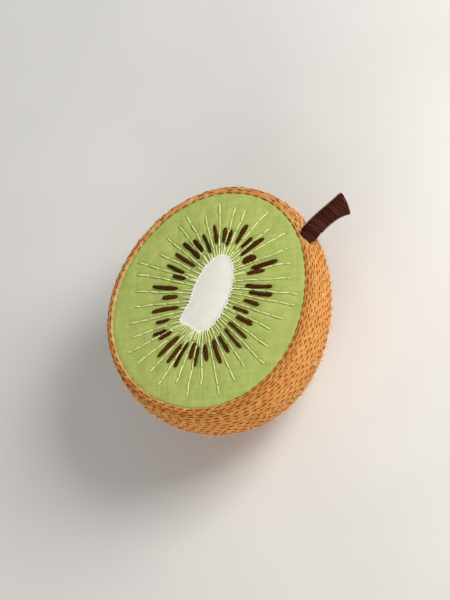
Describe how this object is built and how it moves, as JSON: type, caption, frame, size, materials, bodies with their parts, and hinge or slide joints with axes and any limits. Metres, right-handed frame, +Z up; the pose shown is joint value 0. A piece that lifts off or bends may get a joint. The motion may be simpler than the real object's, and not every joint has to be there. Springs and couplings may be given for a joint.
{
  "type": "embroidered kiwi fruit half",
  "caption": "Kiwi fruit half made of cloth and thread, cut face up, with stitched seeds and rays, a pale core, a stitched cover and a short stem.",
  "frame": {"origin": "middle of the small flat spot under the dome that the half rests on", "axes": "+Z up, out of the cut face; +X towards the stem, which is the longest way; -Y towards the side of the dome that the picture shows"},
  "size_m": [0.0772, 0.0634, 0.0344],
  "materials": {
    "skin_thread": "stitched cotton thread",
    "flesh_cloth": "matte woven cotton",
    "core_cloth": "matte woven cotton",
    "stem_thread": "satin-stitched thread"
  },
  "bodies": {
    "root": {"skin": "skin_thread", "flesh": "flesh_cloth", "core": "core_cloth", "stem": "stem_thread"}
  },
  "joints": []
}
